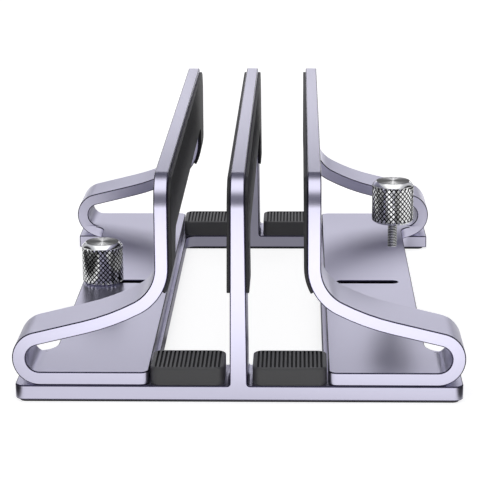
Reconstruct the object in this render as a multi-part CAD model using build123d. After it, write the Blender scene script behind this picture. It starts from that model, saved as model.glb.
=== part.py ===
from build123d import *
from math import atan2, cos, degrees, radians, sin
import os

# Vertical laptop stand for two closed laptops: a flat base with a fixed centre wall, and two
# bent wings that slide on the base to set each slot's width and are clamped by thumb screws.
# Millimetres. Origin: the middle of the footprint, on the surface that the stand rests on.
# +X is right, +Y is the back, +Z is up. What has a left and a right is modelled on the right.

# Overall
STAND_HEIGHT = 83.9
BASE_WIDTH = 163.6
BASE_LENGTH = 240.0

# Base plate, an open frame of a front bar, a rear bar and two side plates
BASE_THICKNESS = 5.5
BASE_CORNER_RADIUS = 3.5
BAR_DEPTH = 25.0
BASE_WINDOW_WIDTH = 62.0
BASE_WINDOW_RADIUS = 4.5
NOTCH_DEPTH = 13.3
NOTCH_RADIUS = 5.0

# Centre wall, one extrusion with the base
CENTRE_TOP_THICKNESS = 5.1
CENTRE_FOOT_THICKNESS = 6.4
CENTRE_FOOT_FILLET = 1.0

# All three walls
WALL_CORNER_RADIUS = 11.0
WALL_WINDOW_TOP = 58.5
WALL_WINDOW_RADIUS = 6.0
METAL_CHAMFER = 0.3

# Wings, each bent from one plate: lower plate, U turn, slope, sweep, bend and wall
WING_THICKNESS = 5.0
WING_END_INSET = 0.5
WING_REACH = 82.4
WING_WALL_INNER_X = 24.9
WING_TURN_RADIUS = 7.6
WING_SLOPE_ANGLE = 13.7
WING_SWEEP_RADIUS = 85.0
WING_SWEEP_END_ANGLE = 27.7
WING_BEND_RADIUS = 17.0
WING_PLATE_OUTER_X = 69.5
WING_PLATE_CORNER_RADIUS = 3.0
WING_NOTCH_RADIUS = 9.5

# Soft liners on the wall faces that the laptops touch
LINER_THICKNESS = 1.2
LINER_TOP_DROP = 1.7
LINER_MARGIN = 0.5
LINER_END_INSET = 1.2
LINER_FOOT_HEIGHT = 41.2

# Ribbed seat pads that the laptops stand on
PAD_WIDTH = 27.1
PAD_DEPTH = 21.3
PAD_HEIGHT = 6.7
PAD_CORNER_RADIUS = 3.5
PAD_EDGE_CHAMFER = 0.5
PAD_FRONT_INSET = 0.6
PAD_WALL_GAP = 1.9
PAD_TO_WING_GAP = 0.6
RIB_PITCH = 1.54
RIB_COUNT = 16
RIB_GROOVE_WIDTH = 0.7
RIB_GROOVE_DEPTH = 0.5
RIB_END_MARGIN = 1.2

# Thumb screws, one for each wing
SCREW_X = 61.0
SCREW_RADIUS = 1.95
SCREW_LENGTH = 10.6
SCREW_TIP_CHAMFER = 0.5
SCREW_IN_KNOB = 10.0
SCREW_CLEARANCE = 0.05
HOLE_COUNTERSINK = 0.4
KNOB_RADIUS = 8.6
KNOB_HEIGHT = 17.5
KNOB_SHOULDER_RADIUS = 1.9
KNOB_SHOULDER_STEPS = 3
KNOB_FOOT_CHAMFER = 0.8
RIGHT_SCREW_LIFT = 26.4

# Slot in each wing's lower plate
WING_TRAVEL = 20.5
SLOT_SIDE_CLEARANCE = 0.25
SLOT_END_CLEARANCE = 0.3

# Foot strips under the front and rear bars
FOOT_THICKNESS = 1.0
FOOT_END_INSET = 1.5
FOOT_SIDE_INSET = 1.2
FOOT_CORNER_RADIUS = 2.5

# Levels and places that follow from the sizes above
BASE_TOP = FOOT_THICKNESS + BASE_THICKNESS
PLATE_TOP = BASE_TOP + WING_THICKNESS
PAD_TOP = BASE_TOP + PAD_HEIGHT
WINDOW_HALF_LENGTH = BASE_LENGTH / 2 - BAR_DEPTH
PAD_INNER_X = CENTRE_FOOT_THICKNESS / 2 + PAD_WALL_GAP
WING_PLATE_INNER_X = PAD_INNER_X + PAD_WIDTH + PAD_TO_WING_GAP
WING_LENGTH = BASE_LENGTH - 2 * WING_END_INSET
WALL_MID_X = WING_WALL_INNER_X + WING_THICKNESS / 2
TURN_CENTRE_X = WING_REACH - WING_THICKNESS / 2 - WING_TURN_RADIUS
WELL_OVER = 2 * STAND_HEIGHT


def strip_profile(path, thickness):
    """A face of even thickness about a chain of tangent lines and arcs, upright in XZ."""
    return Plane.XZ * trace(path, line_width=thickness)


def along_y(face, length):
    """The upright profile drawn out to this length, half of it each way from the middle."""
    return extrude(face, amount=length / 2, both=True)


def plan_plate(width, length, thickness, radius, z):
    """A plate with rounded corners, its lower face at height z."""
    return Pos(0, 0, z) * extrude(RectangleRounded(width, length, radius), amount=thickness)


def window_tool(margin, z_from):
    """The cutter for the window through a wall, its rounded upper corners in the side view."""
    width = 2 * (WINDOW_HALF_LENGTH + margin)
    top = WALL_WINDOW_TOP + margin
    radius = WALL_WINDOW_RADIUS + margin
    outline = Rectangle(width, top - z_from, align=(Align.CENTER, Align.MAX))
    outline = fillet(outline.vertices().group_by(Axis.Y)[-1], radius)
    return extrude(Plane.YZ * Pos(0, top) * outline, amount=WELL_OVER, both=True)


def round_wall_top(wall, radius):
    """Rounds the wall's two upper corners in the side view."""
    return fillet(wall.edges().filter_by(Axis.X).group_by(Axis.Z)[-1], radius)


def section_profile():
    """Section that the base and its centre wall are extruded with: a slab and a tapered wall."""
    foot = CENTRE_FOOT_THICKNESS / 2
    top = CENTRE_TOP_THICKNESS / 2
    half = BASE_WIDTH / 2
    corners = [
        (half, FOOT_THICKNESS),
        (half, BASE_TOP),
        (foot, BASE_TOP),
        (top, STAND_HEIGHT),
        (-top, STAND_HEIGHT),
        (-foot, BASE_TOP),
        (-half, BASE_TOP),
        (-half, FOOT_THICKNESS),
    ]
    section = make_face(Polyline(corners, close=True))
    inner_corners = [v for v in section.vertices() if abs(v.X) < foot + 0.01 and v.Y < BASE_TOP + 0.01]
    return Plane.XZ * fillet(inner_corners, CENTRE_FOOT_FILLET)


def build_base():
    """Base plate and centre wall: the extrusion, then its windows, notches and tapped holes."""
    frame = along_y(section_profile(), BASE_LENGTH)
    plan_corners = frame.edges().filter_by(Axis.Z).filter_by(at_base_side)
    frame = fillet(plan_corners, BASE_CORNER_RADIUS)
    frame = round_wall_top(frame, WALL_CORNER_RADIUS)
    frame = chamfer(frame.edges(), METAL_CHAMFER)
    frame = frame - window_tool(0, BASE_TOP) - base_window_tool()
    for side in (-1, 1):
        frame = frame - notch_tool(side) - tapped_hole(side)
    return frame


def at_base_side(edge):
    """True for the upright edges at the base plate's four corners."""
    return abs(abs(edge.center().X) - BASE_WIDTH / 2) < 0.01


def base_window_tool():
    """The window down through the base plate, as long as the window through the walls."""
    thickness = 2 * BASE_THICKNESS
    length = 2 * WINDOW_HALF_LENGTH
    return plan_plate(BASE_WINDOW_WIDTH, length, thickness, BASE_WINDOW_RADIUS, BASE_TOP - thickness)


def notch_tool(side):
    """The notch in one side of the base plate, between the ends of the front and rear bars."""
    middle_x = BASE_WIDTH / 2 - NOTCH_DEPTH + WELL_OVER / 2
    cut = plan_plate(WELL_OVER, 2 * WINDOW_HALF_LENGTH, WELL_OVER, NOTCH_RADIUS, -WELL_OVER / 2)
    return Pos(side * middle_x, 0, 0) * cut


def tapped_hole(side):
    """The screw's hole through the side plate, with a countersunk mouth."""
    radius = SCREW_RADIUS + SCREW_CLEARANCE
    hole = Cylinder(radius, WELL_OVER)
    mouth = Pos(0, 0, BASE_TOP) * Cone(
        radius, radius + HOLE_COUNTERSINK, HOLE_COUNTERSINK, align=(Align.CENTER, Align.CENTER, Align.MAX)
    )
    return Pos(side * SCREW_X, 0, 0) * (hole + mouth)


def wing_centre_line():
    """Mid line of the bent plate: lower plate, U turn, slope, sweep, bend and wall."""
    plate_z = BASE_TOP + WING_THICKNESS / 2
    slope = radians(WING_SLOPE_ANGLE)
    sweep_end = radians(WING_SWEEP_END_ANGLE)
    sweep_x = WING_SWEEP_RADIUS * (sin(sweep_end) - sin(slope))
    bend_x = WING_BEND_RADIUS * (1 - sin(sweep_end))
    slope_x = TURN_CENTRE_X + WING_TURN_RADIUS * sin(slope) - sweep_x - bend_x - WALL_MID_X
    lower = Line((WING_PLATE_INNER_X, plate_z), (TURN_CENTRE_X, plate_z))
    turn = JernArc(lower @ 1, lower % 1, WING_TURN_RADIUS, 180 - WING_SLOPE_ANGLE)
    straight = Line(turn @ 1, turn @ 1 + (turn % 1) * (slope_x / cos(slope)))
    sweep_turn = WING_SWEEP_END_ANGLE - WING_SLOPE_ANGLE
    sweep = JernArc(straight @ 1, straight % 1, WING_SWEEP_RADIUS, -sweep_turn)
    bend = JernArc(sweep @ 1, sweep % 1, WING_BEND_RADIUS, -(90 - WING_SWEEP_END_ANGLE))
    wall = Line(bend @ 1, (WALL_MID_X, STAND_HEIGHT))
    return [lower, turn, straight, sweep, bend, wall]


def build_wing():
    """Right wing: the bent plate with its window, its legs front and rear, and its slot."""
    wing = along_y(strip_profile(wing_centre_line(), WING_THICKNESS), WING_LENGTH)
    wing = round_wall_top(wing, WALL_CORNER_RADIUS)
    plate_corners = wing.edges().filter_by(Axis.Z).filter_by(at_plate_end)
    wing = fillet(plate_corners, WING_PLATE_CORNER_RADIUS)
    wing = chamfer(wing.edges(), METAL_CHAMFER)
    wing = wing - window_tool(0, PLATE_TOP)
    wing = wing - Pos(WING_PLATE_OUTER_X + WELL_OVER / 2, 0, 0) * plan_plate(
        WELL_OVER, 2 * WINDOW_HALF_LENGTH, PLATE_TOP + 1, WING_NOTCH_RADIUS, -1
    )
    return wing - slot_tool()


def at_plate_end(edge):
    """True for the upright edges at the inner end of the wing's lower plate."""
    return abs(edge.center().X - WING_PLATE_INNER_X) < 0.01


def slot_tool():
    """The slot that lets the wing travel outwards past its screw."""
    half_width = SCREW_RADIUS + SLOT_SIDE_CLEARANCE
    run = WING_TRAVEL + 2 * SLOT_END_CLEARANCE
    middle_x = SCREW_X - WING_TRAVEL / 2
    return Pos(middle_x, 0, 0) * extrude(SlotCenterToCenter(run, 2 * half_width), WELL_OVER)


def bend_start_z():
    """Height where the wing's wall ends and its bend begins."""
    bend = wing_centre_line()[4]
    return (bend @ 1).Y


def build_wing_liner():
    """Liner on the right wing's inner face, which follows the start of the bend."""
    start_x = WING_WALL_INNER_X - LINER_THICKNESS / 2
    radius = WING_BEND_RADIUS + (WING_THICKNESS + LINER_THICKNESS) / 2
    bend_z = bend_start_z()
    drop = bend_z - LINER_FOOT_HEIGHT
    angle = degrees(atan2(drop, (radius**2 - drop**2) ** 0.5))
    wall = Line((start_x, STAND_HEIGHT - LINER_TOP_DROP), (start_x, bend_z))
    bend = JernArc(wall @ 1, wall % 1, radius, angle)
    liner = along_y(strip_profile([wall, bend], LINER_THICKNESS), liner_length())
    liner = round_wall_top(liner, WALL_CORNER_RADIUS - LINER_END_INSET)
    return liner - window_tool(LINER_MARGIN, 0)


def liner_length():
    """Length that leaves the wall's own end faces bare on each side."""
    return WING_LENGTH - 2 * LINER_END_INSET


def build_centre_liner():
    """Liner on the right face of the tapered centre wall."""
    foot = CENTRE_FOOT_THICKNESS / 2
    top = CENTRE_TOP_THICKNESS / 2
    lean = (foot - top) / (STAND_HEIGHT - BASE_TOP)
    top_z = STAND_HEIGHT - LINER_TOP_DROP
    low_x = foot - lean * (LINER_FOOT_HEIGHT - BASE_TOP)
    high_x = foot - lean * (top_z - BASE_TOP)
    corners = [
        (low_x, LINER_FOOT_HEIGHT),
        (low_x + LINER_THICKNESS, LINER_FOOT_HEIGHT),
        (high_x + LINER_THICKNESS, top_z),
        (high_x, top_z),
    ]
    liner = along_y(Plane.XZ * make_face(Polyline(corners, close=True)), liner_length())
    liner = round_wall_top(liner, WALL_CORNER_RADIUS - LINER_END_INSET)
    return liner - window_tool(LINER_MARGIN, 0)


def build_pad():
    """Seat pad with ribs that run front to back, on the right, its middle at Y zero."""
    pad = plan_plate(PAD_WIDTH, PAD_DEPTH, PAD_HEIGHT, PAD_CORNER_RADIUS, BASE_TOP)
    pad = chamfer(pad.edges().group_by(Axis.Z)[-1], PAD_EDGE_CHAMFER)
    groove = Pos(0, 0, PAD_TOP - RIB_GROOVE_DEPTH) * Box(
        RIB_GROOVE_WIDTH,
        PAD_DEPTH - 2 * RIB_END_MARGIN,
        PAD_HEIGHT,
        align=(Align.CENTER, Align.CENTER, Align.MIN),
    )
    pad = pad - [loc * groove for loc in GridLocations(RIB_PITCH, 0, RIB_COUNT, 1)]
    return Pos(PAD_INNER_X + PAD_WIDTH / 2, 0, 0) * pad


def build_knob():
    """Thumb screw knob as turned, before its knurl, on its own axis with its foot at Z zero."""
    bore = SCREW_RADIUS + SCREW_CLEARANCE
    outline = [
        (bore, 0),
        (KNOB_RADIUS - KNOB_FOOT_CHAMFER, 0),
        (KNOB_RADIUS, KNOB_FOOT_CHAMFER),
        *knob_shoulder(),
        (0, KNOB_HEIGHT),
        (0, SCREW_IN_KNOB),
        (bore, SCREW_IN_KNOB),
    ]
    return revolve(Plane.XZ * make_face(Polyline(outline, close=True)), Axis.Z)


def knob_shoulder():
    """Points along the knob's round shoulder, from its side to its top, turned as short cones."""
    centre_x = KNOB_RADIUS - KNOB_SHOULDER_RADIUS
    centre_z = KNOB_HEIGHT - KNOB_SHOULDER_RADIUS
    turns = [radians(90) * step / KNOB_SHOULDER_STEPS for step in range(KNOB_SHOULDER_STEPS + 1)]
    return [
        (centre_x + KNOB_SHOULDER_RADIUS * cos(turn), centre_z + KNOB_SHOULDER_RADIUS * sin(turn))
        for turn in turns
    ]


def build_stud():
    """Threaded stud of the thumb screw, from its tip to its seat inside the knob."""
    stud = Pos(0, 0, -SCREW_LENGTH) * Cylinder(
        SCREW_RADIUS,
        SCREW_LENGTH + SCREW_IN_KNOB,
        align=(Align.CENTER, Align.CENTER, Align.MIN),
    )
    return chamfer(stud.edges().group_by(Axis.Z)[0], SCREW_TIP_CHAMFER)


def build_foot_strip():
    """Foot strip, its middle at Y zero."""
    width = BASE_WIDTH - 2 * FOOT_END_INSET
    depth = BAR_DEPTH - 2 * FOOT_SIDE_INSET
    return plan_plate(width, depth, FOOT_THICKNESS, FOOT_CORNER_RADIUS, 0)


def left_and_right(name, solid):
    """The right-hand piece and its mirror image."""
    return {"left_" + name: mirror(solid, about=Plane.YZ), "right_" + name: solid}


def build_all():
    """Every piece of the stand by name, in place."""
    pieces = {"base_frame": build_base()}
    pieces.update(left_and_right("wing", build_wing()))
    pieces.update(left_and_right("wing_liner", build_wing_liner()))
    pieces.update(left_and_right("centre_liner", build_centre_liner()))
    pad_y = {
        "front": -BASE_LENGTH / 2 + PAD_FRONT_INSET + PAD_DEPTH / 2,
        "rear": WINDOW_HALF_LENGTH + PAD_FRONT_INSET + PAD_DEPTH / 2,
    }
    bar_y = {"front": -(BASE_LENGTH - BAR_DEPTH) / 2, "rear": (BASE_LENGTH - BAR_DEPTH) / 2}
    for end in ("front", "rear"):
        pieces.update(left_and_right(end + "_seat_pad", Pos(0, pad_y[end], 0) * build_pad()))
        pieces[end + "_foot_strip"] = Pos(0, bar_y[end], 0) * build_foot_strip()
    screw_places = {
        "left": Pos(-SCREW_X, 0, PLATE_TOP),
        "right": Pos(SCREW_X, 0, PLATE_TOP + RIGHT_SCREW_LIFT),
    }
    for side, place in screw_places.items():
        pieces[side + "_screw_knob"] = place * build_knob()
        pieces[side + "_screw_stud"] = place * build_stud()
    return pieces


os.makedirs("parts", exist_ok=True)
for name, solid in build_all().items():
    export_step(solid, "parts/" + name + ".step")
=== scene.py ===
"""Vertical laptop stand: every piece dressed for close views, on a plain studio floor."""

import math

import bmesh
import bpy
from mathutils import Matrix, Vector


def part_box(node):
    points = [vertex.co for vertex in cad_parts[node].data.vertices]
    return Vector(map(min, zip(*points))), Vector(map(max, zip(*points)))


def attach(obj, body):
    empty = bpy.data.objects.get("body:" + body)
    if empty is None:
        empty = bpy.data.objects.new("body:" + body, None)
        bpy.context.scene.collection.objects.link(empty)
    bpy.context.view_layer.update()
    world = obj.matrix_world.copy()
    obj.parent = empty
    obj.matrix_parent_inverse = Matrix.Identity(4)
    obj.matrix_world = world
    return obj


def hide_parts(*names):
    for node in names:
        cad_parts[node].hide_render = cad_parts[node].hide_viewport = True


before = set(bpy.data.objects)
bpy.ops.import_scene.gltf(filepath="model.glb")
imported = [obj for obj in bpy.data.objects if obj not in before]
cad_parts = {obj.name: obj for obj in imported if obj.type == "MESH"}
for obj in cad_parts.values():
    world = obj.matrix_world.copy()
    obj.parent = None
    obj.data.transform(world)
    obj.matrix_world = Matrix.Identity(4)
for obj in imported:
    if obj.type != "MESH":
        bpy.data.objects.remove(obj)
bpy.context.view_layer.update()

bl_info = {
    "name": "Vertical Laptop Stand",
    "version": (1, 0, 0),
    "blender": (4, 5, 0),
    "location": "View3D > Sidebar > Laptop Stand",
    "description": "Builds the stand's base, wings, liners, pads and thumb screws, and its studio",
    "category": "Object",
}

MM = 0.001
BASE_LOW, BASE_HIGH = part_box("base_frame")
WING_LOW, WING_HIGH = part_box("right_wing")
PAD_OUTER_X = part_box("right_front_seat_pad")[1].x
AXIS_Y = Vector((0, 1, 0))
SIDES = {"left": -1, "right": 1}

# Tolerances of the mesh work
NEAR = 1e-5
TINY = 1e-6
WELD = 0.02 * MM
FLAT = math.radians(0.5)
SHARP = math.radians(40)
LEVEL = 0.99

# Places and shares that no setting holds
FAR = 0.4
AT_END = 0.1
TAPPED_RADIUS = 2.0 * MM
SLOT_END_SHARE = 0.999
GROOVE_END_SHARE = 0.98
PAD_EDGE_BREAK = 0.08 * MM
FOOT_EDGE_BREAK = 0.2 * MM
SEAM_REACH = 4
SHOULDER_OUTLINE = ((0, 0.06), (0.05, 0.2), (0.78, 0.93), (0.88, 0.985), (1, 1))
THREAD_OUTLINE = ((False, 0.1), (True, 0.3), (True, 0.7), (False, 0.9))

# Grain: how many to a metre, how much roughness and tone vary, how deep it is
METAL_GRAIN = {"scale": 2600.0, "spread": 0.08, "drift": 0.04, "bump": 0.1, "metallic": 1.0}
EDGE_GRAIN = {"scale": 1500.0, "spread": 0.1, "drift": 0.1, "bump": 0.05, "metallic": 1.0}
RUBBER_GRAIN = {"scale": 1800.0, "spread": 0.2, "drift": 0.2, "bump": 0.3, "metallic": 0.0}
STEEL_GRAIN = {"scale": 1600.0, "spread": 0.1, "drift": 0.08, "bump": 0.08, "metallic": 1.0}
# Painted highlight on the knobs' tops: swing, middle, streak share and power of its light and dark
# fan
HIGHLIGHT_FAN_SWING, HIGHLIGHT_FAN_MIDDLE, HIGHLIGHT_FAN_STREAK, HIGHLIGHT_FAN_DEPTH = 0.22, 0.45, 0.65, 4.0

# The room's colours by degrees from the front horizon, over the top, to the back horizon
ROOM_SHADES = (
    (0, (0.24, 0.24, 0.27)),
    (38, (0.20, 0.20, 0.23)),
    (55, (1.5, 1.5, 1.5)),
    (98, (1.5, 1.5, 1.5)),
    (114, (0.12, 0.12, 0.15)),
    (148, (0.12, 0.12, 0.15)),
    (158, (0.03, 0.03, 0.06)),
    (180, (0.03, 0.03, 0.06)),
)

# The room's bands to the left and right, by how far sideways they lie, and where they take over
ROOM_SIDES = ((0.0, 0.60), (0.69, 0.60), (0.77, 0.02), (0.92, 0.02), (0.96, 0.75), (1.0, 0.75))
SIDES_START, SIDES_FULL = 0.35, 0.6
SIDES_BLUE = 1.05

# The floor's painted glow as the metal sees it, dark near the stand as a painted shadow, by metres
# from the middle along the way to the camera
FLOOR_SHADES = (
    (0.0, 0.36), (0.03, 0.36), (0.04, 0.05), (0.07, 0.40), (0.085, 1.10), (0.13, 1.02),
    (0.20, 1.60), (0.30, 2.10), (0.50, 2.35), (0.75, 0.6),
)
FLOOR_WAY = (0.2, -1.0, 0.0)
FLOOR_HALF = 4.0

# The floor's share of that painted glow, with a painted dark band to each side, by metres sideways
# less a share of the metres in front
SIDE_SHADES = ((0.081, 1.0), (0.087, 0.02), (0.115, 0.02), (0.17, 0.6))
SIDE_SPREAD = 0.32


def length(name, description, default):
    """A size in metres that shows with its unit."""
    return bpy.props.FloatProperty(
        name=name, description=description, default=default, min=0.0, precision=5, unit="LENGTH"
    )


def angle(name, description, degrees):
    """An angle that shows in degrees."""
    return bpy.props.FloatProperty(
        name=name, description=description, default=math.radians(degrees), precision=3,
        unit="ROTATION",
    )


def colour(name, description, default):
    """A linear colour."""
    return bpy.props.FloatVectorProperty(
        name=name, description=description, default=default, size=3, min=0.0, max=1.0,
        subtype="COLOR",
    )


def factor(name, description, default):
    """A plain number from nought to one."""
    return bpy.props.FloatProperty(
        name=name, description=description, default=default, min=0.0, max=1.0, subtype="FACTOR"
    )


def level(name, description, default):
    """A strength of light, where one is white."""
    return bpy.props.FloatProperty(
        name=name, description=description, default=default, min=0.0, soft_max=4.0
    )


class StandMetalSizes(bpy.types.PropertyGroup):
    """Sizes of the base and the wings."""

    base_thickness: length("Base thickness", "Thickness of the base plate", 5.5 * MM)
    base_corner: length("Base corner", "Plan radius of the base plate's corners", 3.5 * MM)
    window_width: length("Base window width", "Width of the window through the base", 62.0 * MM)
    window_corner: length("Base window corner", "Plan radius in the window's corners", 4.5 * MM)
    bar_depth: length("Bar depth", "Depth of the front and rear bars", 25.0 * MM)
    notch_depth: length("Side notch", "How far each side of the base is cut in", 13.3 * MM)
    notch_corner: length("Side notch corner", "Plan radius in the side notch's corners", 5.0 * MM)
    centre_top: length("Centre wall top", "Thickness of the centre wall at its top", 5.1 * MM)
    centre_foot: length("Centre wall foot", "Thickness of the centre wall at its foot", 6.4 * MM)
    centre_fillet: length("Centre wall fillet", "Radius where the wall meets the base", 1.0 * MM)
    wall_corner: length("Wall corner", "Radius of the walls' upper corners", 11.0 * MM)
    wall_window_top: length("Wall window top", "Height of the window through the walls", 58.5 * MM)
    wall_window_corner: length("Wall window corner", "Radius of that window's corners", 6.0 * MM)
    wing_thickness: length("Wing thickness", "Thickness of the bent plate", 5.0 * MM)
    wing_wall_x: length("Wing wall", "The wall's inner face, from the middle", 24.9 * MM)
    pad_gap: length("Pad gap", "Gap between a seat pad and the lower plate", 0.6 * MM)
    turn_radius: length("Turn radius", "Mid radius of the turn at the wing's outer end", 7.6 * MM)
    slope: angle("Slope", "Rise of the wing's leg above its turn", 13.7)
    sweep_radius: length("Sweep radius", "Mid radius of the long sweep up the leg", 85.0 * MM)
    sweep_end: angle("Sweep end", "Rise of the leg where the sweep ends", 27.7)
    bend_radius: length("Bend radius", "Mid radius of the bend into the wall", 17.0 * MM)
    plate_edge_x: length("Plate edge", "The lower plate's outer edge, from the middle", 69.5 * MM)
    plate_corner: length("Plate corner", "Plan radius of the lower plate's inner corners", 3.0 * MM)
    plate_notch_corner: length("Plate notch corner", "Plan radius from plate to leg", 9.5 * MM)
    screw_x: length("Screw place", "Distance of each thumb screw from the middle", 61.0 * MM)
    slot_width: length("Slot width", "Width of the slot in the lower plate", 4.4 * MM)
    slot_travel: length("Wing travel", "How far a wing slides out", 20.5 * MM)
    slot_end_gap: length("Slot end gap", "Clearance at each end of the slot", 0.3 * MM)
    edge: length("Edge break", "Width of the break on every metal edge", 0.42 * MM)


class StandSoftSizes(bpy.types.PropertyGroup):
    """Sizes of the liners, the seat pads and the foot strips."""

    liner_thickness: length("Liner thickness", "Thickness of the wall liners", 1.2 * MM)
    liner_drop: length("Liner drop", "How far a liner stays below its wall's top", 1.7 * MM)
    liner_margin: length("Liner margin", "Bare metal left round the wall windows", 0.5 * MM)
    liner_inset: length("Liner inset", "Bare metal left at each end of a wall", 1.2 * MM)
    liner_foot: length("Liner foot", "Height of the liners' lower edge", 41.2 * MM)
    liner_edge: length("Liner edge", "Radius on the liners' edges", 0.25 * MM)
    pad_corner: length("Pad corner", "Plan radius of the seat pads' corners", 3.5 * MM)
    pad_edge: length("Pad edge", "Radius along the seat pads' top", 0.6 * MM)
    rib_pitch: length("Rib pitch", "Distance from one groove to the next", 1.54 * MM)
    rib_count: bpy.props.IntProperty(
        name="Grooves", description="Grooves in a seat pad", default=16, min=1
    )
    groove_width: length("Groove width", "Width of a groove", 0.7 * MM)
    groove_depth: length("Groove depth", "Depth of a groove", 0.5 * MM)
    groove_margin: length("Groove margin", "Plain rim at the ends of the grooves", 1.2 * MM)
    foot_corner: length("Foot corner", "Plan radius of the foot strips' corners", 2.5 * MM)


class StandScrewSizes(bpy.types.PropertyGroup):
    """Sizes of the thumb screws."""

    knob_radius: length("Knob radius", "Radius over the knurl", 8.6 * MM)
    shoulder: length("Shoulder", "Size of the polished shoulder round the top", 1.9 * MM)
    foot_chamfer: length("Foot chamfer", "Chamfer round the knob's foot", 0.8 * MM)
    knurl_count: bpy.props.IntProperty(
        name="Knurls", description="Diamonds round a knob", default=28, min=8
    )
    knurl_depth: length("Knurl depth", "Height of the diamonds", 0.42 * MM)
    knurl_flat: factor("Knurl flat", "Share of a diamond that is flat", 0.7)
    stud_radius: length("Stud radius", "Outer radius of the thread", 1.95 * MM)
    thread_pitch: length("Thread pitch", "Rise of the thread in one turn", 0.7 * MM)
    thread_depth: length("Thread depth", "Depth of the thread", 0.4 * MM)
    bore_gap: length("Bore gap", "Clearance between stud and knob", 0.05 * MM)


class StandFinishes(bpy.types.PropertyGroup):
    """Colours and finishes."""

    metal: colour("Metal", "Anodised aluminium", (0.60, 0.585, 0.725))
    metal_roughness: factor("Metal roughness", "How soft the metal's reflections are", 0.31)
    # Painted shade: this dark colour on the metal's edge breaks and the slots' inner walls stands
    # in for their shade and dark reflections
    painted_edge_shade: colour("Edge metal", "Cut edges of the aluminium", (0.06, 0.055, 0.10))
    rubber: colour("Liner rubber", "Wall liners and foot strips", (0.022, 0.022, 0.024))
    # Painted shade: the liners' window cuts and the pads' grooves take this deeper black in place
    # of their shade
    painted_cut_shade: colour("Cut rubber", "Liners' cuts and pads' grooves", (0.006, 0.006, 0.006))
    pad_rubber: colour("Pad rubber", "Ribbed seat pads", (0.088, 0.088, 0.090))
    steel: colour("Steel", "Plated thumb screws", (0.84, 0.85, 0.855))
    # Painted shade: the knurl's and the thread's grooves take this dark colour in place of their
    # shade
    groove: colour("Grooves", "Depths of the knurl and the thread", (0.02, 0.021, 0.023))
    # The turned tops' tone, under a painted highlight fan of light and dark
    turned: colour("Turned top", "Turned top of the knobs", (0.55, 0.55, 0.54))


class StageSettings(bpy.types.PropertyGroup):
    """The studio round the stand."""

    lens: bpy.props.FloatProperty(
        name="Lens", description="Focal length", default=143.85, subtype="DISTANCE_CAMERA"
    )
    camera_place: bpy.props.FloatVectorProperty(
        name="Camera place", description="Where the camera stands", size=3, unit="LENGTH",
        default=(22.01 * MM, -779.76 * MM, 236.26 * MM), subtype="XYZ",
    )
    card_low: bpy.props.FloatVectorProperty(
        name="Card low corner", description="Lower left corner of the lit card behind the stand",
        size=3, unit="LENGTH", default=(-0.45, 0.72, 0.14), subtype="XYZ",
    )
    card_size: bpy.props.FloatVectorProperty(
        name="Card size", description="Width and height of the lit card",
        size=2, unit="LENGTH", default=(0.9, 0.23),
    )
    card_level: level("Card level", "Brightness of the lit card", 1.22)
    camera_turn: angle("Camera turn", "Turn of the camera to the left", 1.829)
    camera_tilt: angle("Camera tilt", "Tilt of the camera below the horizon", 14.831)
    camera_roll: angle("Camera roll", "Roll of the camera", 0.382)
    floor_glow: level("Floor glow", "Share of the floor's white that isn't lit by the room", 0.78)
    floor_tone: level("Floor tone", "How pale the floor itself is", 0.45)


# Mesh tools

def put_in_order(bm):
    """Sorts the vertices, edges and faces by place, so that each run gives the same mesh."""
    def spot(point):
        return tuple(round(part, 6) for part in point)

    orders = (
        (bm.verts, lambda v: spot(v.co)),
        (bm.edges, lambda e: sorted(spot(v.co) for v in e.verts)),
        (bm.faces, lambda f: sorted(spot(v.co) for v in f.verts)),
    )
    for items, key in orders:
        ranks = {item: rank for rank, item in enumerate(sorted(items, key=key))}
        items.sort(key=ranks.get)


def box_mesh(low, high):
    """A box between two corners."""
    bm = bmesh.new()
    low, high = Vector(low), Vector(high)
    size = high - low
    at = Matrix.Translation((low + high) / 2) @ Matrix.Diagonal((*size, 1))
    bmesh.ops.create_cube(bm, size=1, matrix=at)
    return bm


def edges_along(bm, axis, test=None):
    """The edges that run along one axis and whose middle passes a test."""
    found = []
    for edge in bm.edges:
        run = edge.verts[1].co - edge.verts[0].co
        if abs(run[axis]) > 0.999 * run.length:
            middle = (edge.verts[0].co + edge.verts[1].co) / 2
            if test is None or test(middle):
                found.append(edge)
    return found


def round_off(bm, edges, radius, segments):
    """Rounds edges with an arc."""
    bmesh.ops.bevel(
        bm, geom=edges, offset=radius, offset_type="OFFSET", segments=segments, profile=0.5,
        affect="EDGES", material=-1, clamp_overlap=False,
    )


def rounded_plate(low, high, radius, segments=8):
    """A plate with rounded corners in plan."""
    bm = box_mesh(low, high)
    round_off(bm, edges_along(bm, 2), radius, segments)
    return bm


def grown(bm, edge, move):
    """Draws an edge out in a straight line and returns its new place."""
    made = bmesh.ops.extrude_edge_only(bm, edges=[edge])["geom"]
    bmesh.ops.translate(bm, verts=[g for g in made if isinstance(g, bmesh.types.BMVert)], vec=move)
    return next(g for g in made if isinstance(g, bmesh.types.BMEdge))


def swung(bm, edge, centre, turn, steps):
    """Draws an edge round an arc and returns its new place."""
    made = bmesh.ops.spin(
        bm, geom=[edge, *edge.verts], cent=centre, axis=AXIS_Y, angle=-turn, steps=steps,
        use_merge=False,
    )["geom_last"]
    return next(g for g in made if isinstance(g, bmesh.types.BMEdge))


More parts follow.
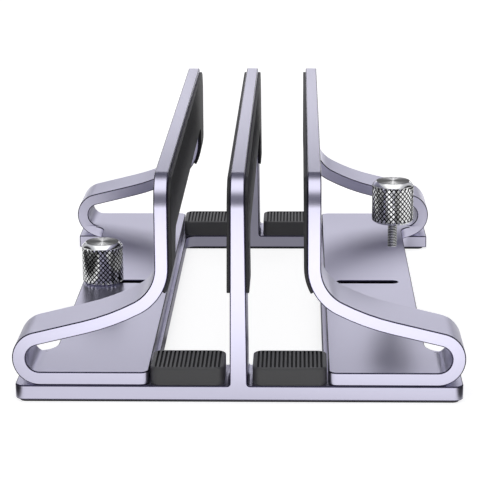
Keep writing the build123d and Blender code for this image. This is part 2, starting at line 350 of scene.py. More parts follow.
def bent_plate(start, heading, thickness, runs, plate_length):
    """A plate bent along runs of (radius, amount): 0 is straight, a positive radius turns left."""
    bm = bmesh.new()
    at, way = Vector(start), heading
    across = Vector((-math.sin(way), 0, math.cos(way))) * thickness / 2
    edge = bm.edges.new((bm.verts.new(at - across), bm.verts.new(at + across)))
    for radius, amount in runs:
        if radius == 0:
            move = Vector((math.cos(way), 0, math.sin(way))) * amount
            edge = grown(bm, edge, move)
            at = at + move
            continue
        centre = at + Vector((-math.sin(way), 0, math.cos(way))) * radius
        turn = math.copysign(amount, radius)
        steps = max(4, round(abs(amount) / math.radians(5)))
        edge = swung(bm, edge, centre, turn, steps)
        at = centre + Matrix.Rotation(-turn, 3, "Y") @ (at - centre)
        way += turn
    draw_out(bm, plate_length)
    return bm


def draw_out(bm, plate_length):
    """Draws a flat section out along Y, half of it each way."""
    bmesh.ops.translate(bm, verts=bm.verts, vec=(0, -plate_length / 2, 0))
    made = bmesh.ops.extrude_face_region(bm, geom=bm.faces[:])["geom"]
    ends = [g for g in made if isinstance(g, bmesh.types.BMVert)]
    bmesh.ops.translate(bm, verts=ends, vec=(0, plate_length, 0))
    bmesh.ops.recalc_face_normals(bm, faces=bm.faces)
    put_in_order(bm)


def loose_object(bm, name):
    """An object with this mesh, at the origin."""
    put_in_order(bm)
    mesh = bpy.data.meshes.new(name)
    bm.to_mesh(mesh)
    bm.free()
    obj = bpy.data.objects.new(name, mesh)
    bpy.context.scene.collection.objects.link(obj)
    return obj


def cut(bm, cutters):
    """The mesh with every cutter taken out of it."""
    body = loose_object(bm, "cut_body")
    tools = []
    for cutter in cutters:
        bmesh.ops.recalc_face_normals(cutter, faces=cutter.faces)
        tool = loose_object(cutter, "cut_tool")
        modifier = body.modifiers.new("cut", "BOOLEAN")
        modifier.operation, modifier.solver, modifier.object = "DIFFERENCE", "EXACT", tool
        tools.append(tool)
    bpy.context.view_layer.update()
    result = bmesh.new()
    shaped = body.evaluated_get(bpy.context.evaluated_depsgraph_get())
    result.from_mesh(shaped.to_mesh())
    shaped.to_mesh_clear()
    for obj in [body, *tools]:
        bpy.data.meshes.remove(obj.data)
    if not result.faces:
        raise RuntimeError("a cut left nothing")
    for reach in (TINY, WELD):
        put_in_order(result)
        bmesh.ops.remove_doubles(result, verts=result.verts, dist=reach)
    put_in_order(result)
    bmesh.ops.dissolve_limit(
        result, angle_limit=FLAT, verts=result.verts, edges=result.edges, delimit={"NORMAL"}
    )
    return result


def mirrored(bm):
    """The mesh turned into its mirror image about the middle of the stand."""
    bmesh.ops.scale(bm, verts=bm.verts, vec=(-1, 1, 1))
    bmesh.ops.reverse_faces(bm, faces=bm.faces)
    return bm


def weigh_edges(bm):
    """Marks the sharp outward edges for the edge break, and keeps the inward ones sharp."""
    weight = bm.edges.layers.float.new("bevel_weight_edge")
    for edge in bm.edges:
        turn = edge.calc_face_angle_signed() if len(edge.link_faces) == 2 else 0
        if turn > SHARP and not edge.seam:
            edge[weight] = 1.0
        elif abs(turn) > SHARP:
            edge.smooth = False


def finish_piece(
    bm, name, materials, body, edge=0.0, segments=3, edge_material=-1, smooth=True
):
    """The finished piece in place of its CAD node, its outward edges rounded."""
    weigh_edges(bm)
    obj = loose_object(bm, name + "_dressed")
    mesh = obj.data
    for material in materials:
        mesh.materials.append(material)
    if smooth:
        mesh.shade_smooth()
    if edge:
        bevel = obj.modifiers.new("edge break", "BEVEL")
        bevel.width, bevel.segments, bevel.profile = edge, segments, 0.5
        bevel.limit_method = "WEIGHT"
        bevel.harden_normals, bevel.material = True, edge_material
        bevel.use_clamp_overlap = False
    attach(obj, body)
    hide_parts(name)
    return obj


# Materials

def node(tree, kind, place, **values):
    """A node whose named inputs and settings are filled in."""
    made = tree.nodes.new(kind)
    made.location = place
    for key, value in values.items():
        if key in made.inputs:
            made.inputs[key].default_value = value
        else:
            setattr(made, key, value)
    return made


def feed(tree, values, sockets):
    """Gives each socket its value: a link from another socket, or a constant."""
    for value, socket in zip(values, sockets):
        if isinstance(value, bpy.types.NodeSocket):
            tree.links.new(value, socket)
        else:
            socket.default_value = value


def worked(tree, place, operation, *values):
    """The output of a maths node on these sockets or numbers."""
    made = node(tree, "ShaderNodeMath", place, operation=operation)
    feed(tree, values, made.inputs)
    return made.outputs[0]


def mixed(tree, place, blend, share, first, second):
    """The output of a colour mix."""
    made = node(tree, "ShaderNodeMix", place, data_type="RGBA", blend_type=blend)
    feed(tree, (share, first, second), (made.inputs["Factor"], made.inputs[6], made.inputs[7]))
    return made.outputs[2]


def ramped(tree, place, stops, value):
    """The output of a colour ramp with these stops of (place, colour)."""
    made = node(tree, "ShaderNodeValToRGB", place)
    elements = made.color_ramp.elements
    for i, (spot, shade) in enumerate(stops):
        stop = elements[i] if i < 2 else elements.new(1.0)
        stop.position, stop.color = spot, (*shade, 1)
    tree.links.new(value, made.inputs["Fac"])
    return made.outputs["Color"]


def greys(stops, blue=1.0):
    """Stops of (place, level) as stops of (place, colour)."""
    return [(spot, (shade, shade, shade * blue)) for spot, shade in stops]


def split_place(tree, output, place):
    """The X, Y and Z of a texture coordinate."""
    spot = node(tree, "ShaderNodeTexCoord", place)
    parts = node(tree, "ShaderNodeSeparateXYZ", (place[0] + 200, place[1]))
    tree.links.new(spot.outputs[output], parts.inputs[0])
    return parts.outputs


def grain_group():
    """Node group: fine blasted or moulded grain as a tone, a roughness and a height."""
    if "surface grain" in bpy.data.node_groups:
        return bpy.data.node_groups["surface grain"]
    tree = bpy.data.node_groups.new("surface grain", "ShaderNodeTree")
    for name, value in (("Scale", 900.0), ("Roughness", 0.4), ("Spread", 0.06), ("Drift", 0.04)):
        socket = tree.interface.new_socket(name, in_out="INPUT", socket_type="NodeSocketFloat")
        socket.default_value = value
    for name in ("Tone", "Roughness", "Height"):
        tree.interface.new_socket(name, in_out="OUTPUT", socket_type="NodeSocketFloat")
    into = node(tree, "NodeGroupInput", (-800, 0))
    place = node(tree, "ShaderNodeTexCoord", (-800, 200))
    fine = node(tree, "ShaderNodeTexNoise", (-600, 200), Detail=2.0, Roughness=0.6)
    broad = node(tree, "ShaderNodeTexNoise", (-600, -200), Scale=22.0, Detail=3.0, Roughness=0.5)
    for noise in (fine, broad):
        tree.links.new(place.outputs["Object"], noise.inputs["Vector"])
    tree.links.new(into.outputs["Scale"], fine.inputs["Scale"])
    centred = worked(tree, (-400, 200), "SUBTRACT", fine.outputs["Fac"], 0.5)
    spread = worked(
        tree, (-200, 200), "MULTIPLY_ADD",
        centred, into.outputs["Spread"], into.outputs["Roughness"],
    )
    drift = worked(tree, (-400, -200), "SUBTRACT", broad.outputs["Fac"], 0.5)
    tone = worked(tree, (-200, -200), "MULTIPLY_ADD", drift, into.outputs["Drift"], 1.0)
    out = node(tree, "NodeGroupOutput", (0, 0))
    feed(tree, (tone, spread, fine.outputs["Fac"]), out.inputs)
    return tree


def painted_fan_group():
    """Node group: a painted highlight, a fan of light and dark round each knob's axis, light in
    front and behind and dark to the sides.
    """
    if "painted highlight fan" in bpy.data.node_groups:
        return bpy.data.node_groups["painted highlight fan"]
    tree = bpy.data.node_groups.new("painted highlight fan", "ShaderNodeTree")
    tree.interface.new_socket("Tone", in_out="OUTPUT", socket_type="NodeSocketFloat")
    parts = split_place(tree, "Object", (-1400, 0))
    aside = worked(tree, (-1000, 100), "ABSOLUTE", parts["X"])
    across = worked(tree, (-800, 100), "SUBTRACT", aside, bpy.context.scene.stand_metal.screw_x)
    turn = worked(tree, (-600, 0), "ARCTAN2", across, parts["Y"])
    streak = node(
        tree, "ShaderNodeTexNoise", (-400, -200), noise_dimensions="1D", Scale=4.0, Detail=3.0
    )
    tree.links.new(turn, streak.inputs["W"])
    double = worked(tree, (-400, 100), "MULTIPLY", turn, 2.0)
    wave = worked(tree, (-200, 100), "COSINE", double)
    wide = worked(tree, (0, 100), "MULTIPLY_ADD", wave, HIGHLIGHT_FAN_SWING, HIGHLIGHT_FAN_MIDDLE)
    light = worked(tree, (200, 0), "MULTIPLY_ADD", streak.outputs["Fac"], HIGHLIGHT_FAN_STREAK, wide)
    tone = worked(tree, (400, 0), "POWER", light, HIGHLIGHT_FAN_DEPTH)
    out = node(tree, "NodeGroupOutput", (600, 0))
    tree.links.new(tone, out.inputs["Tone"])
    return tree


def grained_material(name, base, roughness, scale, spread, drift, bump, metallic, **shader_values):
    """A material of one colour whose tone, roughness and surface all vary with the grain group."""
    if name in bpy.data.materials:
        return bpy.data.materials[name]
    material = bpy.data.materials.new(name)
    material.use_nodes = True
    material.diffuse_color = (*base, 1)
    tree = material.node_tree
    shader = tree.nodes["Principled BSDF"]
    shader.inputs["Metallic"].default_value = metallic
    for key, value in shader_values.items():
        shader.inputs[key].default_value = value
    grain = node(tree, "ShaderNodeGroup", (-600, 0), node_tree=grain_group())
    feed(tree, (scale, roughness, spread, drift), grain.inputs)
    tint = mixed(tree, (-300, 200), "MULTIPLY", 1.0, (*base, 1), grain.outputs["Tone"])
    tree.links.new(tint, shader.inputs["Base Color"])
    tree.links.new(grain.outputs["Roughness"], shader.inputs["Roughness"])
    relief = node(tree, "ShaderNodeBump", (-300, -300), Strength=bump, Distance=0.0001)
    tree.links.new(grain.outputs["Height"], relief.inputs["Height"])
    tree.links.new(relief.outputs["Normal"], shader.inputs["Normal"])
    return material


def metal_materials():
    """Anodised aluminium, and the painted dark shade of its edge breaks and slots."""
    finish = bpy.context.scene.stand_finish
    return [
        grained_material("aluminium_face", finish.metal, finish.metal_roughness, **METAL_GRAIN),
        grained_material("metal_painted_edge_shade", finish.painted_edge_shade, 0.25, **EDGE_GRAIN),
    ]


def rubber_materials():
    """Matt black moulded rubber, and a deeper black painted as shade on its cuts and in its
    grooves.
    """
    finish = bpy.context.scene.stand_finish
    return [
        grained_material("soft_rubber", finish.rubber, 0.55, **RUBBER_GRAIN),
        grained_material("rubber_painted_shade", finish.painted_cut_shade, 0.7, **RUBBER_GRAIN),
    ]


def pad_materials():
    """The paler moulded rubber of the seat pads, and the painted shade black of their grooves."""
    finish = bpy.context.scene.stand_finish
    top = grained_material("pad_rubber", finish.pad_rubber, 0.42, **RUBBER_GRAIN)
    return [top, rubber_materials()[1]]


def steel_materials():
    """Bright plated steel, its grooves in painted shade, and the turned top with a painted
    highlight fan.
    """
    finish = bpy.context.scene.stand_finish
    bright = grained_material("bright_plated_steel", finish.steel, 0.14, **STEEL_GRAIN)
    groove = grained_material("steel_painted_groove_shade", finish.groove, 0.45, **STEEL_GRAIN | {"drift": 0.1})
    if "turned_steel_painted_fan" in bpy.data.materials:
        return [bright, groove, bpy.data.materials["turned_steel_painted_fan"]]
    turned = grained_material(
        "turned_steel_painted_fan", finish.turned, 0.3, **STEEL_GRAIN | {"bump": 0.05}, Anisotropic=0.9
    )
    tree = turned.node_tree
    shader = tree.nodes["Principled BSDF"]
    # Painted highlight: the fan multiplies the turned top's tone
    streaks = node(tree, "ShaderNodeGroup", (-300, 450), node_tree=painted_fan_group())
    tone = shader.inputs["Base Color"].links[0].from_socket
    fanned = mixed(tree, (-100, 300), "MULTIPLY", 1.0, tone, streaks.outputs["Tone"])
    tree.links.new(fanned, shader.inputs["Base Color"])
    around = node(tree, "ShaderNodeTangent", (-300, -550), direction_type="RADIAL", axis="Z")
    tree.links.new(around.outputs[0], shader.inputs["Tangent"])
    return [bright, groove, turned]


# Pieces

def wing_runs(metal):
    """The wing plate's straight runs and arcs from the plate's inner end to the wall's top."""
    half = metal.wing_thickness / 2
    plate_z = base_plate_top(metal) + half
    turn_x = WING_HIGH.x - half - metal.turn_radius
    wall_x = metal.wing_wall_x + half
    slope, end = metal.slope, metal.sweep_end
    sweep_x = metal.sweep_radius * (math.sin(end) - math.sin(slope))
    bend_x = metal.bend_radius * (1 - math.sin(end))
    slope_x = turn_x + metal.turn_radius * math.sin(slope) - sweep_x - bend_x - wall_x
    wall_start = (
        plate_z + metal.turn_radius * (1 + math.cos(slope)) + slope_x * math.tan(slope)
        + metal.sweep_radius * (math.cos(slope) - math.cos(end)) + metal.bend_radius * math.cos(end)
    )
    runs = [
        (0, turn_x - plate_start(metal)),
        (metal.turn_radius, math.pi - slope),
        (0, slope_x / math.cos(slope)),
        (-metal.sweep_radius, end - slope),
        (-metal.bend_radius, math.pi / 2 - end),
        (0, WING_HIGH.z - wall_start),
    ]
    return (plate_start(metal), 0, plate_z), runs, wall_start


def plate_start(metal):
    """Distance of the lower plate's inner end from the middle."""
    return PAD_OUTER_X + metal.pad_gap


def base_plate_top(metal):
    """Height of the base plate's top."""
    return BASE_LOW.z + metal.base_thickness


def round_wall_top(bm, top, radius):
    """Rounds a wall's two upper corners in the side view."""
    edges = edges_along(bm, 0, lambda p: p.z > top - NEAR and abs(p.y) > AT_END)
    round_off(bm, edges, radius, 14)


def wall_window(metal, margin, floor):
    """The cutter for the window through the walls."""
    half = BASE_HIGH.y - metal.bar_depth + margin
    top = metal.wall_window_top + margin
    bm = box_mesh((-FAR, -half, floor), (FAR, half, top))
    edges = edges_along(bm, 0, lambda p: p.z > top - NEAR)
    round_off(bm, edges, metal.wall_window_corner + margin, 10)
    return bm


def build_wing_mesh(metal):
    """The right wing: the bent plate with its window, its legs and its slot."""
    start, runs, _ = wing_runs(metal)
    bm = bent_plate(start, 0.0, metal.wing_thickness, runs, WING_HIGH.y - WING_LOW.y)
    round_wall_top(bm, WING_HIGH.z, metal.wall_corner)
    inner = edges_along(bm, 2, lambda p: abs(p.x - start[0]) < NEAR and abs(p.y) > AT_END)
    round_off(bm, inner, metal.plate_corner, 6)
    plate_top = base_plate_top(metal) + metal.wing_thickness
    half = BASE_HIGH.y - metal.bar_depth
    notch = rounded_plate(
        (metal.plate_edge_x, -half, -MM), (FAR, half, plate_top + MM), metal.plate_notch_corner
    )
    slot_half = metal.slot_width / 2
    run = metal.slot_travel / 2 + metal.slot_end_gap + slot_half
    middle = metal.screw_x - metal.slot_travel / 2
    slot = rounded_plate(
        (middle - run, -slot_half, 0), (middle + run, slot_half, plate_top + 2 * MM),
        slot_half * SLOT_END_SHARE,
    )
    bm = cut(bm, [wall_window(metal, 0, plate_top), notch, slot])
    # The slot's inner walls take the second material, a painted shade
    for face in bm.faces:
        at = face.calc_center_median()
        upright = abs(face.normal.z) < 1 - LEVEL
        if upright and abs(at.y) < slot_half + NEAR and abs(at.x - middle) < run + NEAR:
            face.material_index = 1
    for edge in bm.edges:
        ledge = all(
            abs(v.co.z - plate_top) < NEAR and v.co.x > metal.plate_edge_x for v in edge.verts
        )
        near, far = sorted(abs(v.co.y) for v in edge.verts)
        reach = half - SEAM_REACH * metal.edge
        edge.seam = ledge and far < half + NEAR and reach < near < half - NEAR
    return bm


def build_base_mesh(metal):
    """The base plate and the centre wall in one piece."""
    top = base_plate_top(metal)
    half, foot, head = BASE_HIGH.x, metal.centre_foot / 2, metal.centre_top / 2
    bm = bmesh.new()
    corners = [
        (half, BASE_LOW.z), (half, top), (foot, top), (head, BASE_HIGH.z),
        (-head, BASE_HIGH.z), (-foot, top), (-half, top), (-half, BASE_LOW.z),
    ]
    verts = [bm.verts.new((x, 0, z)) for x, z in corners]
    bm.faces.new(verts)
    bmesh.ops.bevel(
        bm, geom=[verts[2], verts[5]], offset=metal.centre_fillet, segments=4, profile=0.5,
        affect="VERTICES", material=-1,
    )
    draw_out(bm, BASE_HIGH.y - BASE_LOW.y)
    round_wall_top(bm, BASE_HIGH.z, metal.wall_corner)
    round_off(bm, edges_along(bm, 2, lambda p: abs(p.x) > half - NEAR), metal.base_corner, 8)
    window_half = BASE_HIGH.y - metal.bar_depth
    window = rounded_plate(
        (-metal.window_width / 2, -window_half, BASE_LOW.z - MM),
        (metal.window_width / 2, window_half, top), metal.window_corner,
    )
    cutters = [window, wall_window(metal, 0, top - 0.01 * MM)]
    for side in (-1, 1):
        near, far = side * (half - metal.notch_depth), side * FAR
        cutters.append(rounded_plate(
            (min(near, far), -window_half, -MM), (max(near, far), window_half, top + MM),
            metal.notch_corner,
        ))
        hole = bmesh.new()
        bmesh.ops.create_cone(
            hole, cap_ends=True, segments=32, radius1=TAPPED_RADIUS, radius2=TAPPED_RADIUS,
            depth=4 * metal.base_thickness,
            matrix=Matrix.Translation((side * metal.screw_x, 0, top)),
        )
        cutters.append(hole)
    return cut(bm, cutters)


def build_wing_liner_mesh(metal, soft):
    """The liner on the right wing's inner face and the start of its bend."""
    _, _, bend_z = wing_runs(metal)
    thickness = soft.liner_thickness
    radius = metal.bend_radius + (metal.wing_thickness + thickness) / 2
    drop = math.asin((bend_z - soft.liner_foot) / radius)
    top = WING_HIGH.z - soft.liner_drop
    runs = [(0, top - bend_z), (radius, drop)]
    start = (metal.wing_wall_x - thickness / 2, 0, top)
    bm = bent_plate(start, -math.pi / 2, thickness, runs, liner_length(soft))
    return windowed_liner(bm, metal, soft, top)


def build_centre_liner_mesh(metal, soft):
    """The liner on the right face of the tapered centre wall."""
    base_top = base_plate_top(metal)
    foot, head = metal.centre_foot / 2, metal.centre_top / 2
    lean = (foot - head) / (BASE_HIGH.z - base_top)
    top = BASE_HIGH.z - soft.liner_drop
    low_x = foot - lean * (soft.liner_foot - base_top)
    high_x = foot - lean * (top - base_top)
    thickness = soft.liner_thickness
    corners = [
        (low_x, soft.liner_foot), (low_x + thickness, soft.liner_foot),
        (high_x + thickness, top), (high_x, top),
    ]
    bm = bmesh.new()
    bm.faces.new([bm.verts.new((x, 0, z)) for x, z in corners])
    draw_out(bm, liner_length(soft))
    return windowed_liner(bm, metal, soft, top)


def liner_length(soft):
    """How long the liners are from front to back."""
    return WING_HIGH.y - WING_LOW.y - 2 * soft.liner_inset


def windowed_liner(bm, metal, soft, liner_top):
    """A liner with its corners rounded and its window cut, the cut faces in the second material,
    black as painted shade.
    """
    round_wall_top(bm, liner_top, metal.wall_corner - soft.liner_inset)
    bm = cut(bm, [wall_window(metal, soft.liner_margin, 0)])
    half = BASE_HIGH.y - metal.bar_depth + soft.liner_margin + NEAR
    top = metal.wall_window_top + soft.liner_margin + NEAR
    # Painted shade: the window's cut faces go black
    for face in bm.faces:
        at = face.calc_center_median()
        if abs(face.normal.x) < 0.5 and abs(at.y) < half and at.z < top:
            face.material_index = 1
    return bm


def build_pad_mesh(soft, low, high):
    """A seat pad with grooves that run front to back, the grooves in the second material, black as
    painted shade.
    """
    bm = rounded_plate(low, high, soft.pad_corner)
    rim = [e for e in bm.edges if all(v.co.z > high.z - TINY for v in e.verts)]
    round_off(bm, rim, soft.pad_edge, 4)
    middle, half = (low.x + high.x) / 2, soft.groove_width / 2
    front, back = low.y + soft.groove_margin, high.y - soft.groove_margin
    floor = high.z - soft.groove_depth
    cutters = []
    for i in range(soft.rib_count):
        x = middle + (i - (soft.rib_count - 1) / 2) * soft.rib_pitch
        cutters.append(rounded_plate(
            (x - half, front, floor), (x + half, back, high.z + MM), half * GROOVE_END_SHARE, 3
        ))
    bm = cut(bm, [joined(cutters)])
    # Painted shade: the groove faces go black
    for face in bm.faces:
        at = face.calc_center_median()
        within = low.x + 2 * soft.pad_edge < at.x < high.x - 2 * soft.pad_edge
        if within and front - TINY < at.y < back + TINY and floor - TINY < at.z < high.z - TINY:
            face.material_index = 1
    return bm


def joined(meshes):
    """Several meshes as one."""
    bm = bmesh.new()
    for part in meshes:
        mesh = bpy.data.meshes.new("joined")
        part.to_mesh(mesh)
        part.free()
        bm.from_mesh(mesh)
        bpy.data.meshes.remove(mesh)
    return bm


def turned_chain(bm, points, **spin):
    """Turns a chain of points of (distance, height) once round the axis."""
    verts = [bm.verts.new((x, 0, z)) for x, z in points]
    edges = [bm.edges.new(pair) for pair in zip(verts, verts[1:])]
    bmesh.ops.spin(
        bm, geom=verts + edges, cent=(0, 0, 0), axis=(0, 0, 1), angle=2 * math.pi, **spin
    )
    put_in_order(bm)


def build_knob_mesh(screw, low, high):
    """A turned knob with a diamond knurl, its axis at the middle of its CAD box."""
    middle = (low + high) / 2
    radius, top = screw.knob_radius, high.z - low.z
    columns = 2 * screw.knurl_count
    band_low, band_high = screw.foot_chamfer, top - screw.shoulder
    rows = 2 * int((band_high - band_low) / (math.pi * 2 * radius / columns) / 2)
    root = radius - screw.knurl_depth
    outline = [(screw.stud_radius + screw.bore_gap, 0.0), (root - screw.foot_chamfer, 0.0)]
    outline += [(root, band_low + (band_high - band_low) * row / rows) for row in range(rows + 1)]
    for inward, rise in SHOULDER_OUTLINE:
        outline.append((radius - screw.shoulder * inward, band_high + screw.shoulder * rise))
    bm = bmesh.new()
    turned_chain(bm, outline, steps=columns, use_merge=True)
    bmesh.ops.recalc_face_normals(bm, faces=bm.faces)
    crossings = {}
    for vert in bm.verts:
        if abs(vert.co.xy.length - root) < TINY:
            column = round(math.atan2(vert.co.y, vert.co.x) / (2 * math.pi) * columns) % columns
            row = round((vert.co.z - band_low) / (band_high - band_low) * rows)
            crossings[vert] = (column, row)
    raise_knurl(bm, screw, crossings, rows)
    rim = [e for e in bm.edges if e.is_boundary and e.verts[0].co.z > top - TINY]
    bmesh.ops.holes_fill(bm, edges=rim)
    for face in bm.faces:
        face.smooth = face.calc_center_median().z > band_high
        out = sum(v.co.xy.length for v in face.verts) / len(face.verts)
        edge_tip = any(
            v.co.xy.length > radius - NEAR and not band_low + NEAR <= v.co.z <= band_high - NEAR
            for v in face.verts
        )
        # The flat top takes the turned steel with its painted highlight fan; the knurl's groove
        # faces take painted shade
        if face.normal.z > LEVEL:
            face.material_index = 2
        elif not edge_tip and not face.smooth and out < radius - 0.3 * screw.knurl_depth:
            face.material_index = 1
    bmesh.ops.translate(bm, verts=bm.verts, vec=(middle.x, middle.y, low.z))
    return bm


def raise_knurl(bm, screw, crossings, rows):
    """Raises a flat diamond from every other crossing of the knurl, half ones along its rims."""
    pairs = []
    for face in bm.faces:
        if all(v in crossings for v in face.verts):
            low_corners = [v for v in face.verts if sum(crossings[v]) % 2 == 0]
            if len(low_corners) == 2:
                pairs.append(low_corners)
    for pair in pairs:
        bmesh.ops.connect_vert_pair(bm, verts=pair)
    tips = []
    for vert, (column, row) in crossings.items():
        if (column + row) % 2 == 1:
            inside = 0 < row < rows
            share = 1 - screw.knurl_flat if inside else 1
            vert.co += (vert.co.xy.normalized() * screw.knurl_depth / share).to_3d()
            tips += [vert] if inside else []
    bmesh.ops.bevel(
        bm, geom=tips, offset=100 * screw.knurl_flat, offset_type="PERCENT", segments=1,
        profile=0.5, affect="VERTICES", material=-1,
    )


def build_stud_mesh(screw, low, high):
    """A threaded stud, its helix cut off flat at both ends."""
    middle = (low + high) / 2
    pitch, radius = screw.thread_pitch, screw.stud_radius
    root, tall = radius - screw.thread_depth, high.z - low.z
    outline = [
        (radius if crest else root, (turn + part) * pitch)
        for turn in range(-1, math.ceil(tall / pitch) + 2) for crest, part in THREAD_OUTLINE
    ]
    bm = bmesh.new()
    steps = 32
    turned_chain(bm, outline, steps=steps, dvec=(0, 0, pitch / steps), use_merge=False)
    bmesh.ops.remove_doubles(bm, verts=bm.verts, dist=TINY)
    for z, up in ((0.0, -1), (tall, 1)):
        geom = bm.verts[:] + bm.edges[:] + bm.faces[:]
        parted = bmesh.ops.bisect_plane(
            bm, geom=geom, plane_co=(0, 0, z), plane_no=(0, 0, up), clear_outer=True,
            clear_inner=False,
        )
        rim = [g for g in parted["geom_cut"] if isinstance(g, bmesh.types.BMEdge)]
        bmesh.ops.edgeloop_fill(bm, edges=rim)
    bmesh.ops.recalc_face_normals(bm, faces=bm.faces)
    # The thread's root and flank faces take painted shade
    for face in bm.faces:
        face.smooth = True
        deep = min(v.co.xy.length for v in face.verts) < root + TINY
        if deep and abs(face.normal.z) < LEVEL:
            face.material_index = 1
    bmesh.ops.translate(bm, verts=bm.verts, vec=(middle.x, middle.y, low.z))
    return bm


class STAND_OT_base(bpy.types.Operator):
    """Build the base plate with its centre wall"""

    bl_idname = "stand.build_base"
    bl_label = "Base Frame"

    def execute(self, context):
        metal = context.scene.stand_metal
        # The edge breaks take the second material, painted dark shade along every edge
        finish_piece(
            build_base_mesh(metal), "base_frame", metal_materials(), "base",
            metal.edge, edge_material=1,
        )
        return {"FINISHED"}


class STAND_OT_wings(bpy.types.Operator):
    """Build both bent wings"""

    bl_idname = "stand.build_wings"
    bl_label = "Wings"

    def execute(self, context):
        metal = context.scene.stand_metal
        for side, sign in SIDES.items():
            bm = build_wing_mesh(metal)
            bm = mirrored(bm) if sign < 0 else bm
            # The edge breaks take the second material, painted dark shade along every edge
            finish_piece(
                bm, side + "_wing", metal_materials(), side + "_wing",
                metal.edge, edge_material=1,
            )
        return {"FINISHED"}


class STAND_OT_liners(bpy.types.Operator):
    """Build the four soft wall liners"""

    bl_idname = "stand.build_liners"
    bl_label = "Wall Liners"

    def execute(self, context):
        metal, soft = context.scene.stand_metal, context.scene.stand_soft
        for side, sign in SIDES.items():
            made = {
                "wing_liner": (build_wing_liner_mesh(metal, soft), side + "_wing"),
                "centre_liner": (build_centre_liner_mesh(metal, soft), "base"),
            }
            for name, (bm, body) in made.items():
                bm = mirrored(bm) if sign < 0 else bm
                finish_piece(
                    bm, f"{side}_{name}", rubber_materials(), body, soft.liner_edge
                )
        return {"FINISHED"}


class STAND_OT_pads(bpy.types.Operator):
    """Build the four ribbed seat pads"""

    bl_idname = "stand.build_pads"
    bl_label = "Seat Pads"

    def execute(self, context):
        soft = context.scene.stand_soft
        for side in SIDES:
            for end in ("front", "rear"):
                name = f"{side}_{end}_seat_pad"
                bm = build_pad_mesh(soft, *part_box(name))
                finish_piece(bm, name, pad_materials(), "base", PAD_EDGE_BREAK, 2)
        return {"FINISHED"}


class STAND_OT_foot_strips(bpy.types.Operator):
    """Build the two foot strips"""

    bl_idname = "stand.build_foot_strips"
    bl_label = "Foot Strips"

    def execute(self, context):
        soft = context.scene.stand_soft
        for end in ("front", "rear"):
            name = end + "_foot_strip"
            low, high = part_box(name)
            bm = rounded_plate(low, high, soft.foot_corner)
            finish_piece(bm, name, rubber_materials(), "base", FOOT_EDGE_BREAK)
        return {"FINISHED"}


class STAND_OT_screws(bpy.types.Operator):
    """Build both thumb screws, knob and stud"""

    bl_idname = "stand.build_screws"
    bl_label = "Thumb Screws"

    def execute(self, context):
        screw = context.scene.stand_screw
        for side in SIDES:
            name = side + "_screw_knob"
            bm = build_knob_mesh(screw, *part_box(name))
            finish_piece(
                bm, name, steel_materials(), side + "_knob", smooth=False
            )
            name = side + "_screw_stud"
            bm = build_stud_mesh(screw, *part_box(name))
            finish_piece(
                bm, name, steel_materials()[:2], side + "_screw", smooth=False
            )
        return {"FINISHED"}


class STAND_OT_stage(bpy.types.Operator):
    """Build the floor, the lit card, the world and the camera"""

    bl_idname = "stand.build_stage"
    bl_label = "Studio"

    def execute(self, context):
        stage = context.scene.stand_stage
        build_floor(stage)
        build_world()
        build_card(stage)
        build_camera(stage)
        context.scene.view_settings.view_transform = "Standard"
        return {"FINISHED"}


def build_floor(stage):
    """A white floor that keeps the stand's soft shadow; to the metal it glows in painted light and
    dark bands, dark near the stand as a painted shadow.
    """
    bm = bmesh.new()
    bmesh.ops.create_grid(bm, x_segments=1, y_segments=1, size=FLOOR_HALF)
    floor = loose_object(bm, "floor")
    material = bpy.data.materials.new("floor_white")
    material.use_nodes = True
    tree = material.node_tree
    tree.nodes.clear()
    rays = node(tree, "ShaderNodeLightPath", (-400, 300)).outputs
    spot = node(tree, "ShaderNodeTexCoord", (-1400, 0))
    toward = node(tree, "ShaderNodeVectorMath", (-1200, 0), operation="DOT_PRODUCT")
    feed(tree, (spot.outputs["Object"], FLOOR_WAY), toward.inputs)
    parts = split_place(tree, "Object", (-1400, -300))
    aside = worked(tree, (-1000, -200), "ABSOLUTE", parts["X"])
    reach = worked(tree, (-800, 0), "MAXIMUM", toward.outputs["Value"], aside)
    # Painted glow that only the metal's reflections see, in bands by distance, dark near the stand
    # as a painted shadow
    bands = ramped(tree, (-600, 0), greys(FLOOR_SHADES), reach)
    ahead = worked(tree, (-1000, -400), "ADD", parts["Y"], BASE_HIGH.y)
    front = worked(tree, (-800, -400), "ABSOLUTE", ahead)
    spread = worked(tree, (-600, -300), "MULTIPLY_ADD", front, -SIDE_SPREAD, aside)
    fade = ramped(tree, (-400, -300), greys(SIDE_SHADES), spread)
    seen = worked(tree, (-100, -200), "MULTIPLY", rays["Is Glossy Ray"], fade)
    shiny = worked(tree, (100, -100), "MULTIPLY", seen, bands)
    bright = worked(tree, (300, 0), "MULTIPLY_ADD", rays["Is Camera Ray"], stage.floor_glow, shiny)
    tone = worked(
        tree, (300, 200), "MULTIPLY_ADD", rays["Is Glossy Ray"], -stage.floor_tone, stage.floor_tone
    )
    matt = node(tree, "ShaderNodeBsdfDiffuse", (500, 200))
    glow = node(tree, "ShaderNodeEmission", (500, 0))
    both = node(tree, "ShaderNodeAddShader", (700, 100))
    out = node(tree, "ShaderNodeOutputMaterial", (900, 100))
    tree.links.new(tone, matt.inputs["Color"])
    tree.links.new(bright, glow.inputs["Strength"])
    feed(tree, (matt.outputs[0], glow.outputs[0]), both.inputs)
    tree.links.new(both.outputs[0], out.inputs["Surface"])
    floor.data.materials.append(material)


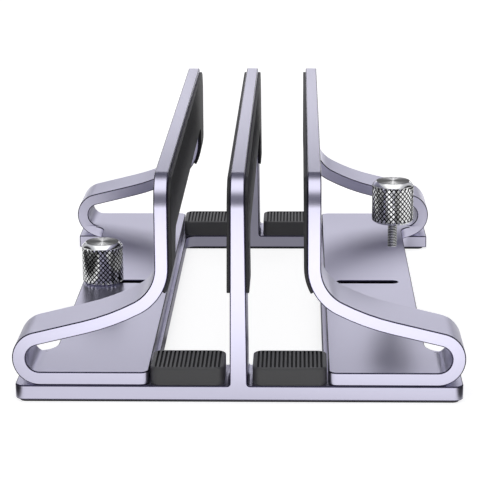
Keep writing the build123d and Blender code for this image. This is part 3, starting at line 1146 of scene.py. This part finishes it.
def build_card(stage):
    """A soft lamp like a lit card behind the stand, for the flat tops to mirror."""
    width, height = stage.card_size
    lamp = bpy.data.lights.new("back_card", "AREA")
    lamp.shape, lamp.size, lamp.size_y = "RECTANGLE", width, height
    lamp.energy = stage.card_level * math.pi * width * height
    card = bpy.data.objects.new("back_card", lamp)
    bpy.context.scene.collection.objects.link(card)
    card.location = Vector(stage.card_low) + Vector((width / 2, 0, height / 2))
    card.rotation_euler = (-math.pi / 2, 0, 0)
    card.visible_camera = False


def build_world():
    """A studio with a broad softbox overhead and banded sides, white to the camera."""
    world = bpy.data.worlds.new("studio_world")
    bpy.context.scene.world = world
    world.use_nodes = True
    tree = world.node_tree
    tree.nodes.clear()
    parts = split_place(tree, "Generated", (-1200, 0))
    back = worked(tree, (-800, -200), "MULTIPLY", parts["Y"], -1.0)
    rise = worked(tree, (-600, -100), "ARCTAN2", parts["Z"], back)
    share = worked(tree, (-400, -100), "DIVIDE", rise, math.pi)
    stops = [(degrees / 180, shade) for degrees, shade in ROOM_SHADES]
    over = ramped(tree, (-200, -100), stops, share)
    aside = worked(tree, (-600, 200), "ABSOLUTE", parts["X"])
    sides = ramped(tree, (-200, 400), greys(ROOM_SIDES, SIDES_BLUE), aside)
    fade = node(tree, "ShaderNodeMapRange", (-200, 150))
    feed(tree, (aside, SIDES_START, SIDES_FULL), fade.inputs)
    around = mixed(tree, (100, 0), "MIX", fade.outputs["Result"], over, sides)
    room = node(tree, "ShaderNodeBackground", (300, -50))
    tree.links.new(around, room.inputs["Color"])
    white = node(tree, "ShaderNodeBackground", (300, 150), Strength=1.0)
    white.inputs["Color"].default_value = (1, 1, 1, 1)
    rays = node(tree, "ShaderNodeLightPath", (300, 500)).outputs
    mix = node(tree, "ShaderNodeMixShader", (500, 0))
    feed(tree, (rays["Is Camera Ray"], room.outputs[0], white.outputs[0]), mix.inputs)
    out = node(tree, "ShaderNodeOutputWorld", (700, 0))
    tree.links.new(mix.outputs[0], out.inputs["Surface"])


def build_camera(stage):
    """The camera at the photograph's place."""
    data = bpy.data.cameras.new("camera")
    data.lens, data.sensor_width = stage.lens, 36.0
    camera = bpy.data.objects.new("camera", data)
    bpy.context.scene.collection.objects.link(camera)
    turn, tilt, roll = -stage.camera_turn, stage.camera_tilt, stage.camera_roll
    flat = math.cos(tilt)
    ahead = Vector((math.sin(turn) * flat, math.cos(turn) * flat, -math.sin(tilt)))
    right = ahead.cross(Vector((0, 0, 1))).normalized()
    up = right.cross(ahead)
    right, up = (
        right * math.cos(roll) - up * math.sin(roll),
        right * math.sin(roll) + up * math.cos(roll),
    )
    pose = Matrix((right, up, -ahead)).transposed().to_4x4()
    camera.matrix_world = Matrix.Translation(stage.camera_place) @ pose
    bpy.context.scene.camera = camera


class STAND_PT_panel(bpy.types.Panel):
    """The stand's pieces and settings"""

    bl_idname = "STAND_PT_panel"
    bl_label = "Laptop Stand"
    bl_space_type = "VIEW_3D"
    bl_region_type = "UI"
    bl_category = "Laptop Stand"

    def draw(self, context):
        for operator in PIECES:
            self.layout.operator(operator.bl_idname)
        for name in SETTINGS:
            settings = getattr(context.scene, name)
            box = self.layout.box()
            for key in settings.__annotations__:
                box.prop(settings, key)


SETTINGS = {
    "stand_metal": StandMetalSizes,
    "stand_soft": StandSoftSizes,
    "stand_screw": StandScrewSizes,
    "stand_finish": StandFinishes,
    "stand_stage": StageSettings,
}
PIECES = (
    STAND_OT_base, STAND_OT_wings, STAND_OT_liners, STAND_OT_pads, STAND_OT_foot_strips,
    STAND_OT_screws, STAND_OT_stage,
)


def register():
    """Registers the settings, the operators and the panel."""
    for name, group in SETTINGS.items():
        bpy.utils.register_class(group)
        setattr(bpy.types.Scene, name, bpy.props.PointerProperty(type=group))
    for cls in (*PIECES, STAND_PT_panel):
        bpy.utils.register_class(cls)


def unregister():
    """Takes out what register put in."""
    for cls in reversed((*PIECES, STAND_PT_panel)):
        bpy.utils.unregister_class(cls)
    for name, group in reversed(SETTINGS.items()):
        delattr(bpy.types.Scene, name)
        bpy.utils.unregister_class(group)


def main():
    """Builds the whole stand and its studio."""
    register()
    bpy.ops.stand.build_base()
    bpy.ops.stand.build_wings()
    bpy.ops.stand.build_liners()
    bpy.ops.stand.build_pads()
    bpy.ops.stand.build_foot_strips()
    bpy.ops.stand.build_screws()
    bpy.ops.stand.build_stage()


if __name__ == "__main__":
    main()
